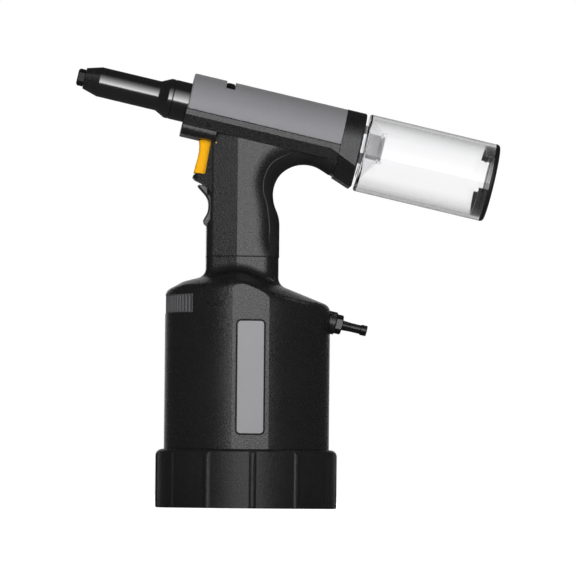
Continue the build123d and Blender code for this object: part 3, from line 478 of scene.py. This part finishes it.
CONTAINER_AXIS = 0.24268  # place along HEAD_UP
CAP_WINDOW = 0.2470  # middle of the cap's window along HEAD_UP
CAP_WINDOW_EDGE = (0.0100, 0.0106)  # from the middle of the window, where clear turns black
# painted edge shade: the wall's colour darkens past these distances from the axis
OUTER_WALL = (0.0225, 0.0232)  # from the axis, where the tint of edges sets in
CLEAR_LOSS = (0.6, 0.6, 0.62, 1.0)


def off_axis(tree, place, level):
    """Distance along HEAD_UP from a level of it."""
    height = add(tree, "ShaderNodeVectorMath", {"operation": "DOT_PRODUCT"}, Vector=place)
    height.inputs[1].default_value = HEAD_UP
    return math_node(tree, "SUBTRACT", height.outputs["Value"], level)


class RIVETER_OT_container(bpy.types.Operator):
    """Clear container and its black cap"""

    bl_idname = "riveter.container"
    bl_label = "Mandrel container"

    def execute(self, context):
        finish = context.scene.riveter_finish
        clear, tree, shader = clear_material("container_clear")
        place = object_place(tree)
        haze = noise(tree, place, 0.004, 3.0, 0.6)
        tree.links.new(spread(tree, haze, 0.03, 0.08), shader.inputs["Roughness"])
        # painted shade: the base colour darkens where the outer wall is seen edge on
        slant = add(tree, "ShaderNodeLayerWeight", Blend=0.5).outputs["Facing"]
        up = off_axis(tree, place, CONTAINER_AXIS)
        across = add(tree, "ShaderNodeSeparateXYZ", Vector=place).outputs["Y"]
        out_squared = math_node(
            tree, "ADD", math_node(tree, "MULTIPLY", up, up), math_node(tree, "MULTIPLY", across, across)
        )
        outer_wall = spread(tree, out_squared, 0.0, 1.0, *(radius**2 for radius in OUTER_WALL))
        edge = math_node(tree, "MULTIPLY", slant, outer_wall)
        painted_edge_shade = tone(tree, edge, finish.container, 1.0, finish.container_edge_shade, 0.15, 0.85)
        tree.links.new(painted_edge_shade, shader.inputs["Base Color"])
        shader.inputs["Transmission Weight"].default_value = 1.0
        shader.inputs["IOR"].default_value = 1.42
        depth = add(tree, "ShaderNodeVolumeAbsorption", Color=CLEAR_LOSS, Density=finish.container_depth)
        tree.links.new(depth.outputs["Volume"], tree.nodes["Material Output"].inputs["Volume"])
        dress(clear, "mandrel_container", "container_seal")
        seal, tree, shader = clear_material("cap_seal_part_clear")
        off_middle = math_node(tree, "ABSOLUTE", off_axis(tree, object_place(tree), CAP_WINDOW), 0.0)
        window = spread(tree, off_middle, 1.0, 0.0, *CAP_WINDOW_EDGE)
        part_clear = tone(tree, window, finish.container, 0.008, 1.0, 0.0, 1.0)
        tree.links.new(part_clear, shader.inputs["Base Color"])
        tree.links.new(window, shader.inputs["Transmission Weight"])
        shader.inputs["IOR"].default_value = 1.2
        shader.inputs["Roughness"].default_value = 0.1
        dress(seal, "container_cap_seal")
        black = moulded(finish, "cap_black", finish.housing, 0.4, depth=0.5, specular=0.25)
        dress(black, "container_cap")
        return {"FINISHED"}


SPRING_GREY = (0.3, 0.305, 0.315)
SPRING_GLOSS = 0.32
# finish: colour, roughness, nodes
INSIDE = {
    "hard_chrome": ((0.62, 0.63, 0.65), 0.12, ("ram_rod", "draw_piston")),
    "machined_steel": (
        (0.42, 0.425, 0.435),
        0.3,
        ("piston_nut", "jaws", "jaw_pusher", "jaw_lock_nut", "collar_nut", "pressure_tube"),
    ),
    "valve_steel": ((0.36, 0.365, 0.375), 0.28, ("trigger_valve_stem", "lever_valve_stem", "jaw_housing")),
    "machined_alloy": ((0.55, 0.56, 0.58), 0.38, ("air_piston", "base_cap", "cylinder_liner", "ram_gland")),
    "spool_alloy": ((0.5, 0.51, 0.53), 0.3, ("main_valve_spool",)),
    "machined_brass": ((0.62, 0.42, 0.15), 0.3, ("rod_bush", "trigger_valve_body", "lever_valve_body")),
    "spring_wire": (SPRING_GREY, SPRING_GLOSS, ("jaw_spring", "retaining_ring")),
}
CLEAR_SEALS = ("container_seal", "container_cap_seal")  # dressed with the container
SEALS = [name for name in NODES if name.endswith("_seal") and name not in CLEAR_SEALS]


class RIVETER_OT_inside(bpy.types.Operator):
    """Finishes of the pieces inside the tool"""

    bl_idname = "riveter.inside"
    bl_label = "Inside"

    def execute(self, context):
        finish = context.scene.riveter_finish
        for name, (base, roughness, nodes) in INSIDE.items():
            dress(metal(name, base, roughness), *nodes)
        seal = moulded(finish, "seal_rubber", (0.014, 0.014, 0.015), 0.42, depth=0.4)
        dress(seal, *SEALS)
        anodised = moulded(finish, "dark_anodised", (0.008, 0.008, 0.0085), 0.5, depth=0.2, specular=0.1)
        dress(anodised, "hydraulic_barrel", "filler_plug")
        pale = moulded(finish, "pale_satin", (0.93, 0.93, 0.935), 0.45, depth=0.2, speckle=0.03)
        dress(pale, "barrel_end_plug", "mandrel_tube")
        felt = moulded(
            finish, "pressed_felt", (0.006, 0.006, 0.0062), 0.85, grain=0.6, depth=1.18, speckle=0.5
        )
        dress(felt, "exhaust_felt")
        return {"FINISHED"}


# each spring and its joint
SPRINGS = {
    "return_spring": "draw_stroke",
    "trigger_valve_spring": "trigger_valve_slide",
    "lever_valve_spring": "lever_valve_slide",
}
MERGE_GAP = 1e-7  # points closer than this are one


class RIVETER_OT_springs(bpy.types.Operator):
    """Springs that shorten toward their seats as the sliding pieces come back"""
    # Smooth coils that take the place of the springs, each with a mesh of its own

    bl_idname = "riveter.springs"
    bl_label = "Springs"

    def execute(self, context):
        wire = metal("coil_wire", SPRING_GREY, SPRING_GLOSS, edge=0.0002)
        for node, joint in SPRINGS.items():
            coil = bmesh.new()
            coil.from_mesh(NODES[node].data)
            bmesh.ops.remove_doubles(coil, verts=coil.verts, dist=MERGE_GAP)
            mesh = built(node + "_coil", coil)
            mesh.shade_smooth()
            piece = finished(node + "_coil", mesh, wire)
            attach(piece, "tool_body")
            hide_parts(node)
            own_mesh(piece)
        return {"FINISHED"}


def group_tree(name, sockets):
    """Geometry Nodes tree with named inputs: (tree, input node, output node)."""
    tree = bpy.data.node_groups.new(name, "GeometryNodeTree")
    for label, kind, value in sockets:
        socket = tree.interface.new_socket(label, in_out="INPUT", socket_type=kind)
        if value is not None:
            socket.default_value = value
    tree.interface.new_socket("Geometry", in_out="OUTPUT", socket_type="NodeSocketGeometry")
    return tree, tree.nodes.new("NodeGroupInput"), tree.nodes.new("NodeGroupOutput")


def grille_tree():
    """Rounded upright bars on an arc, between two curved rails."""
    tree, given, out = group_tree(
        "exhaust_grille_bars",
        [
            ("Bars", "NodeSocketInt", 27),
            ("Radius", "NodeSocketFloat", 0.05),
            ("Half Angle", "NodeSocketFloat", 0.8),
            ("Bottom", "NodeSocketFloat", 0.1),
            ("Height", "NodeSocketFloat", 0.012),
            ("Bar Width", "NodeSocketFloat", 0.0018),
            ("Bar Depth", "NodeSocketFloat", 0.002),
            ("Corner", "NodeSocketFloat", 0.0004),
            ("Rail", "NodeSocketFloat", 0.0008),
            ("Finish", "NodeSocketMaterial", None),
        ],
    )
    value = given.outputs
    # one bar: a rounded rectangle swept up a short line
    section = add(
        tree, "GeometryNodeCurvePrimitiveQuadrilateral", Width=value["Bar Depth"], Height=value["Bar Width"]
    )
    rounded = add(
        tree,
        "GeometryNodeFilletCurve",
        {"mode": "POLY"},
        Curve=section.outputs["Curve"],
        Radius=value["Corner"],
        Limit_Radius=True,
        Count=3,
    )
    top = add(tree, "ShaderNodeCombineXYZ", Z=value["Height"])
    line = add(tree, "GeometryNodeCurvePrimitiveLine", End=top.outputs["Vector"])
    bar = add(
        tree,
        "GeometryNodeCurveToMesh",
        Curve=line.outputs["Curve"],
        Fill_Caps=True,
        Profile_Curve=rounded.outputs["Curve"],
    )
    # places of the bars on the arc
    index = tree.nodes.new("GeometryNodeInputIndex").outputs["Index"]
    last = math_node(tree, "SUBTRACT", value["Bars"], 1.0)
    part = math_node(tree, "DIVIDE", index, last)
    either_way = math_node(tree, "SUBTRACT", math_node(tree, "MULTIPLY", part, 2.0), 1.0)
    swing = math_node(tree, "MULTIPLY", either_way, value["Half Angle"])
    angle = math_node(tree, "ADD", swing, math.pi)
    x = math_node(tree, "MULTIPLY", math_node(tree, "COSINE", angle, 0.0), value["Radius"])
    y = math_node(tree, "MULTIPLY", math_node(tree, "SINE", angle, 0.0), value["Radius"])
    place = add(tree, "ShaderNodeCombineXYZ", X=x, Y=y, Z=value["Bottom"])
    points = add(tree, "GeometryNodePoints", Count=value["Bars"], Position=place.outputs["Vector"])
    turn = add(tree, "ShaderNodeCombineXYZ", Z=angle)
    bars = add(
        tree,
        "GeometryNodeInstanceOnPoints",
        Points=points.outputs[0],
        Instance=bar.outputs["Mesh"],
        Rotation=turn.outputs["Vector"],
    )
    # rails above and below
    arc = add(
        tree,
        "GeometryNodeCurveArc",
        {"mode": "RADIUS"},
        Resolution=64,
        Radius=value["Radius"],
        Start_Angle=math_node(tree, "SUBTRACT", math.pi, value["Half Angle"]),
        Sweep_Angle=math_node(tree, "MULTIPLY", value["Half Angle"], 2.0),
    )
    rail_section = add(
        tree, "GeometryNodeCurvePrimitiveQuadrilateral", Width=value["Bar Depth"], Height=value["Rail"]
    )
    rail = add(
        tree,
        "GeometryNodeCurveToMesh",
        Curve=arc.outputs["Curve"],
        Fill_Caps=True,
        Profile_Curve=rail_section.outputs["Curve"],
    )
    half_rail = math_node(tree, "MULTIPLY", value["Rail"], 0.5)
    low = math_node(tree, "ADD", value["Bottom"], half_rail)
    high = math_node(tree, "SUBTRACT", math_node(tree, "ADD", value["Bottom"], value["Height"]), half_rail)
    join = tree.nodes.new("GeometryNodeJoinGeometry")
    for level in (low, high):
        shift = add(tree, "ShaderNodeCombineXYZ", Z=level)
        moved = add(
            tree, "GeometryNodeTransform", Geometry=rail.outputs["Mesh"], Translation=shift.outputs["Vector"]
        )
        tree.links.new(moved.outputs["Geometry"], join.inputs["Geometry"])
    tree.links.new(bars.outputs["Instances"], join.inputs["Geometry"])
    real = add(tree, "GeometryNodeRealizeInstances", Geometry=join.outputs["Geometry"])
    done = add(tree, "GeometryNodeSetMaterial", Geometry=real.outputs["Geometry"], Material=value["Finish"])
    tree.links.new(done.outputs["Geometry"], out.inputs["Geometry"])
    return tree


def grown(name, tree, values):
    """Plain mesh object from a Geometry Nodes tree and its input values."""
    carrier = bpy.data.objects.new(name + "_maker", bpy.data.meshes.new(name + "_seed"))
    bpy.context.scene.collection.objects.link(carrier)
    modifier = carrier.modifiers.new("Shape", "NODES")
    modifier.node_group = tree
    for item in tree.interface.items_tree:
        if item.in_out == "INPUT" and item.name in values:
            modifier[item.identifier] = values[item.name]
    depsgraph = bpy.context.evaluated_depsgraph_get()
    mesh = bpy.data.meshes.new_from_object(carrier.evaluated_get(depsgraph))
    bpy.data.objects.remove(carrier)
    mesh.name = name
    piece = bpy.data.objects.new(name, mesh)
    bpy.context.scene.collection.objects.link(piece)
    return piece


WIRE_END = 0.15  # radius at the end of a fading wire, as a share
WIRE_STEP = 0.12  # what each point inward adds


def wires(name, paths, radius, material, fade=False):
    """Round wires along paths of points as one plain mesh object, thinned to the ends when they fade."""
    curve = bpy.data.curves.new(name + "_path", "CURVE")
    curve.dimensions = "3D"
    curve.bevel_depth = radius
    curve.bevel_resolution = 2
    curve.use_fill_caps = True
    for path in paths:
        spline = curve.splines.new("POLY")
        spline.points.add(len(path) - 1)
        for number, (point, place) in enumerate(zip(spline.points, path)):
            point.co = (*place, 1.0)
            if fade:
                inward = min(number, len(path) - 1 - number)
                point.radius = min(1.0, WIRE_END + inward * WIRE_STEP)
    carrier = bpy.data.objects.new(name + "_maker", curve)
    bpy.context.scene.collection.objects.link(carrier)
    depsgraph = bpy.context.evaluated_depsgraph_get()
    mesh = bpy.data.meshes.new_from_object(carrier.evaluated_get(depsgraph))
    bpy.data.objects.remove(carrier)
    bpy.data.curves.remove(curve)
    return finished(name, mesh, material)


def smooth_path(points, steps):
    """Points along a smooth line through the given ones."""
    ends = [points[0] * 2 - points[1], *points, points[-1] * 2 - points[-2]]
    path = []
    for before, start, end, after in zip(ends, ends[1:], ends[2:], ends[3:]):
        for step in range(steps):
            share_done = step / steps
            square, cube = share_done**2, share_done**3
            path.append(
                0.5
                * (
                    2 * start
                    + (end - before) * share_done
                    + (2 * before - 5 * start + 4 * end - after) * square
                    + (3 * start - before - 3 * end + after) * cube
                )
            )
    return [*path, points[-1]]


def handle_hits(start, way):
    """Places where a ray from outside first meets the grip and the handle."""
    hits = [NODES[name].ray_cast(start, way) for name in HANDLE]
    return [place for hit, place, normal, face in hits if hit]


SEAM_STEPS = 10  # points between two given ones
# x and height above the foot of the grip, in mm
SEAM = ((12.8, 8.0), (12.9, 21.3), (11.3, 33.2), (8.8, 42.6), (9.5, 52.1), (14.9, 61.6), (27.4, 68.4))


class RIVETER_OT_seam(bpy.types.Operator):
    """Bead in the joint between handle and grip, which catches real highlights and is coloured pale as a
    painted highlight
    """

    bl_idname = "riveter.seam"
    bl_label = "Grip seam"

    def execute(self, context):
        finish = context.scene.riveter_finish
        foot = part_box("back_grip")[0].z
        line = smooth_path([Vector((x * MM, 0.0, foot + rise * MM)) for x, rise in SEAM], SEAM_STEPS)
        paths = []
        for side in (-1.0, 1.0):
            path = []
            for point in line:
                start = Vector((point.x, side * RAY_START, point.z))
                outer = max(abs(place.y) for place in handle_hits(start, Vector((0.0, -side, 0.0))))
                path.append((point.x, side * (outer - finish.seam_sink), point.z))
            paths.append(path)
        # painted highlight: pale colour on the bead, added to the light it really catches
        pale = moulded(finish, "seam_pale_highlight", finish.seam, 0.5, depth=0.3, speckle=0.1)
        piece = wires("grip_seam_bead", paths, finish.seam_radius, pale, fade=True)
        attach(piece, "tool_body")
        return {"FINISHED"}


JOINT_POINTS = 180
JOINT_MIDDLE = -0.004  # x of a point inside the neck
JOINT_SINK = 0.6  # of the wire's radius


class RIVETER_OT_joint(bpy.types.Operator):
    """Dark joint line round the neck at the foot of the handle"""

    bl_idname = "riveter.joint"
    bl_label = "Foot joint"

    def execute(self, context):
        finish = context.scene.riveter_finish
        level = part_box("back_grip")[0].z + finish.joint_radius
        middle = Vector((JOINT_MIDDLE, 0.0, level))
        path = []
        for number in range(JOINT_POINTS + 1):
            angle = 2 * math.pi * (number % JOINT_POINTS) / JOINT_POINTS
            out = Vector((math.cos(angle), math.sin(angle), 0.0))
            reach = max((place - middle).length for place in handle_hits(middle + out * RAY_START, -out))
            path.append(middle + out * (reach - finish.joint_radius * JOINT_SINK))
        black = moulded(finish, "joint_black", finish.grip, 0.8, depth=0.3, edge=0.3, specular=0.05)
        piece = wires("foot_joint", [path], finish.joint_radius, black)
        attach(piece, "tool_body")
        return {"FINISHED"}


class RIVETER_OT_grille(bpy.types.Operator):
    """Exhaust grille of rounded bars round the shoulder"""

    bl_idname = "riveter.grille"
    bl_label = "Exhaust grille"

    def execute(self, context):
        finish = context.scene.riveter_finish
        sizes = context.scene.riveter_grille
        low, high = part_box("exhaust_grille")
        outer = -low.x
        black = moulded(finish, "grille_black", finish.grille, 0.55, depth=0.5, edge=0.5)
        piece = grown(
            "grille_bars",
            grille_tree(),
            {
                "Bars": sizes.bars,
                "Radius": outer - sizes.bar_depth / 2,
                "Half Angle": sizes.half_angle,
                "Bottom": low.z,
                "Height": high.z - low.z,
                "Bar Width": sizes.bar_width,
                "Bar Depth": sizes.bar_depth,
                "Corner": sizes.corner,
                "Rail": sizes.rail,
                "Finish": black,
            },
        )
        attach(piece, "tool_body")
        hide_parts("exhaust_grille")
        return {"FINISHED"}


STAGE_MIDDLE = Vector((0.0, 0.0, 0.16))  # what the lamps face


def softbox(name, size, power, direction, distance, unseen):
    """Rectangular lamp facing the tool from an azimuth and elevation, unseen by some kinds of ray."""
    azimuth, elevation = (math.radians(part) for part in direction)
    lamp = bpy.data.lights.new(name, "AREA")
    lamp.shape = "RECTANGLE"
    lamp.size, lamp.size_y = size
    lamp.energy = power
    out = Vector(
        (
            math.sin(azimuth) * math.cos(elevation),
            -math.cos(azimuth) * math.cos(elevation),
            math.sin(elevation),
        )
    )
    holder = bpy.data.objects.new(name, lamp)
    facing = out.to_track_quat("Z", "Y").to_matrix().to_4x4()
    holder.matrix_world = Matrix.Translation(STAGE_MIDDLE + out * distance) @ facing
    for kind in ("camera", *unseen):
        setattr(holder, "visible_" + kind, False)
    bpy.context.scene.collection.objects.link(holder)
    return holder


MATT_ONLY = ("glossy", "transmission")  # kinds of ray that don't see the lamp
SHINE_ONLY = ("diffuse", "transmission")
FLOOR_REACH = 6.0
FLOOR_TONE = (0.8, 0.08)  # to matt and to shiny surfaces
FLOOR_GLOW = (0.72, 1.0)  # near the tool and away from it
FLOOR_FADE = (0.35, 1.3)  # distances between which the glow changes
BACKDROP = (0.9, 0.985)  # how straight back a shiny surface has to look to mirror the white backdrop
WHITE = (1.0, 1.0, 1.0, 1.0)


class RIVETER_OT_stage(bpy.types.Operator):
    """Floor, lamps, white surround and camera"""

    bl_idname = "riveter.stage"
    bl_label = "Stage"

    def execute(self, context):
        scene = context.scene
        studio = scene.riveter_studio
        self.make_floor(scene)
        softbox("front_fill", (1.4, 0.6), studio.fill_power, (0.0, 6.0), 1.6, MATT_ONLY)
        shine = softbox("shine", (1.15, 1.95), studio.shine_power, (-4.0, 27.0), 1.5, SHINE_ONLY)
        self.grade(shine.data, studio)
        softbox("rear_softbox", (1.4, 1.2), studio.rear_power, (178.0, 30.0), 1.5, MATT_ONLY)
        self.make_surround(scene, studio)
        self.make_camera(scene, studio)
        scene.view_settings.view_transform = "Standard"
        return {"FINISHED"}

    def grade(self, lamp, studio):
        """Makes a lamp fade from its lower to its upper edge."""
        lamp.use_nodes = True
        tree = lamp.node_tree
        place = tree.nodes.new("ShaderNodeNewGeometry").outputs["Parametric"]
        up = add(tree, "ShaderNodeSeparateXYZ", Vector=place).outputs["Y"]
        fade = math_node(tree, "POWER", spread(tree, up, 1.0, 0.0, 0.0, 1.0), studio.shine_fade)
        strength = spread(tree, fade, studio.shine_top, 1.0, 0.0, 1.0)
        tree.links.new(strength, tree.nodes["Emission"].inputs["Strength"])

    def make_floor(self, scene):
        """Pale floor that glows a little to the camera, so that it runs into the white surround."""
        mesh = bpy.data.meshes.new("floor")
        corners = [(x * FLOOR_REACH, y * FLOOR_REACH, 0) for x, y in ((-1, -1), (1, -1), (1, 1), (-1, 1))]
        mesh.from_pydata(corners, [], [(0, 1, 2, 3)])
        floor = bpy.data.objects.new("floor", mesh)
        scene.collection.objects.link(floor)
        pale = bpy.data.materials.new("pale_floor")
        pale.use_nodes = True
        tree = pale.node_tree
        tree.nodes.clear()
        output = tree.nodes.new("ShaderNodeOutputMaterial")
        away = add(tree, "ShaderNodeVectorMath", {"operation": "LENGTH"}, Vector=object_place(tree))
        ray = tree.nodes.new("ShaderNodeLightPath").outputs
        shade = spread(tree, ray["Is Glossy Ray"], *FLOOR_TONE, 0.0, 1.0)
        matt = add(tree, "ShaderNodeBsdfDiffuse", Color=shade)
        seen = math_node(tree, "MAXIMUM", ray["Is Camera Ray"], ray["Is Transmission Ray"])
        brightness = spread(tree, away.outputs["Value"], *FLOOR_GLOW, *FLOOR_FADE)
        lift = math_node(tree, "MULTIPLY", seen, brightness)
        glow = add(tree, "ShaderNodeEmission", Color=WHITE, Strength=lift)
        both = tree.nodes.new("ShaderNodeAddShader")
        tree.links.new(matt.outputs[0], both.inputs[0])
        tree.links.new(glow.outputs[0], both.inputs[1])
        tree.links.new(both.outputs[0], output.inputs["Surface"])
        mesh.materials.append(pale)

    def make_surround(self, scene, studio):
        """World that is white to the camera and through clear walls, and dim to matt and shiny surfaces."""
        world = bpy.data.worlds.new("white_surround")
        world.use_nodes = True
        tree = world.node_tree
        tree.nodes.clear()
        output = tree.nodes.new("ShaderNodeOutputWorld")
        ray = tree.nodes.new("ShaderNodeLightPath").outputs
        way = tree.nodes.new("ShaderNodeTexCoord").outputs["Generated"]
        straight_back = add(tree, "ShaderNodeSeparateXYZ", Vector=way).outputs["Y"]
        behind = spread(tree, straight_back, 0.0, 1.0, *BACKDROP)
        mirrored = math_node(tree, "MULTIPLY", ray["Is Glossy Ray"], behind)
        direct = math_node(tree, "MAXIMUM", ray["Is Camera Ray"], ray["Is Transmission Ray"])
        seen = math_node(tree, "MAXIMUM", direct, mirrored)
        dim = spread(tree, ray["Is Glossy Ray"], studio.ambient, studio.gloom, 0.0, 1.0)
        white = add(tree, "ShaderNodeBackground", Color=WHITE)
        tree.links.new(math_node(tree, "MAXIMUM", seen, dim), white.inputs["Strength"])
        tree.links.new(white.outputs[0], output.inputs["Surface"])
        scene.world = world

    def make_camera(self, scene, studio):
        """Camera that sees the tool as the photo does."""
        lens = bpy.data.cameras.new("photo_camera")
        lens.sensor_width = 36.0
        lens.lens = studio.lens
        lens.clip_start, lens.clip_end = 0.1, 50.0
        holder = bpy.data.objects.new("photo_camera", lens)
        place, target = Vector(studio.camera_place), Vector(studio.camera_target)
        back = (place - target).normalized()
        right = Vector((0.0, 0.0, 1.0)).cross(back).normalized()
        up = back.cross(right)
        turned_right = right * math.cos(studio.roll) + up * math.sin(studio.roll)
        turned_up = up * math.cos(studio.roll) - right * math.sin(studio.roll)
        axes = Matrix((turned_right, turned_up, back)).transposed().to_4x4()
        holder.matrix_world = Matrix.Translation(place) @ axes
        scene.collection.objects.link(holder)
        scene.camera = holder


class RIVETER_PT_panel(bpy.types.Panel):
    """Steps of the riveter in the sidebar"""

    bl_idname = "RIVETER_PT_panel"
    bl_label = "Pneumatic riveter"
    bl_space_type = "VIEW_3D"
    bl_region_type = "UI"
    bl_category = "Riveter"

    def draw(self, context):
        for step in STEPS:
            self.layout.operator(step.bl_idname)
        for group in ("riveter_finish", "riveter_grille", "riveter_studio"):
            settings = getattr(context.scene, group)
            box = self.layout.box()
            for key in settings.bl_rna.properties.keys():
                if key not in ("rna_type", "name"):
                    box.prop(settings, key)


GROUPS = {"riveter_finish": RiveterFinish, "riveter_grille": RiveterGrille, "riveter_studio": RiveterStudio}
STEPS = [
    RIVETER_OT_stage,
    RIVETER_OT_housings,
    RIVETER_OT_greys,
    RIVETER_OT_gaskets,
    RIVETER_OT_controls,
    RIVETER_OT_nose,
    RIVETER_OT_container,
    RIVETER_OT_inside,
    RIVETER_OT_springs,
    RIVETER_OT_grille,
    RIVETER_OT_seam,
    RIVETER_OT_joint,
]


def register():
    for kind in (*GROUPS.values(), *STEPS, RIVETER_PT_panel):
        bpy.utils.register_class(kind)
    for name, kind in GROUPS.items():
        setattr(bpy.types.Scene, name, PointerProperty(type=kind))


def unregister():
    for name in GROUPS:
        delattr(bpy.types.Scene, name)
    for kind in (RIVETER_PT_panel, *reversed(STEPS), *reversed(list(GROUPS.values()))):
        bpy.utils.unregister_class(kind)


def main():
    register()
    for step in STEPS:
        group, name = step.bl_idname.split(".")
        getattr(getattr(bpy.ops, group), name)()


if __name__ == "__main__":
    main()
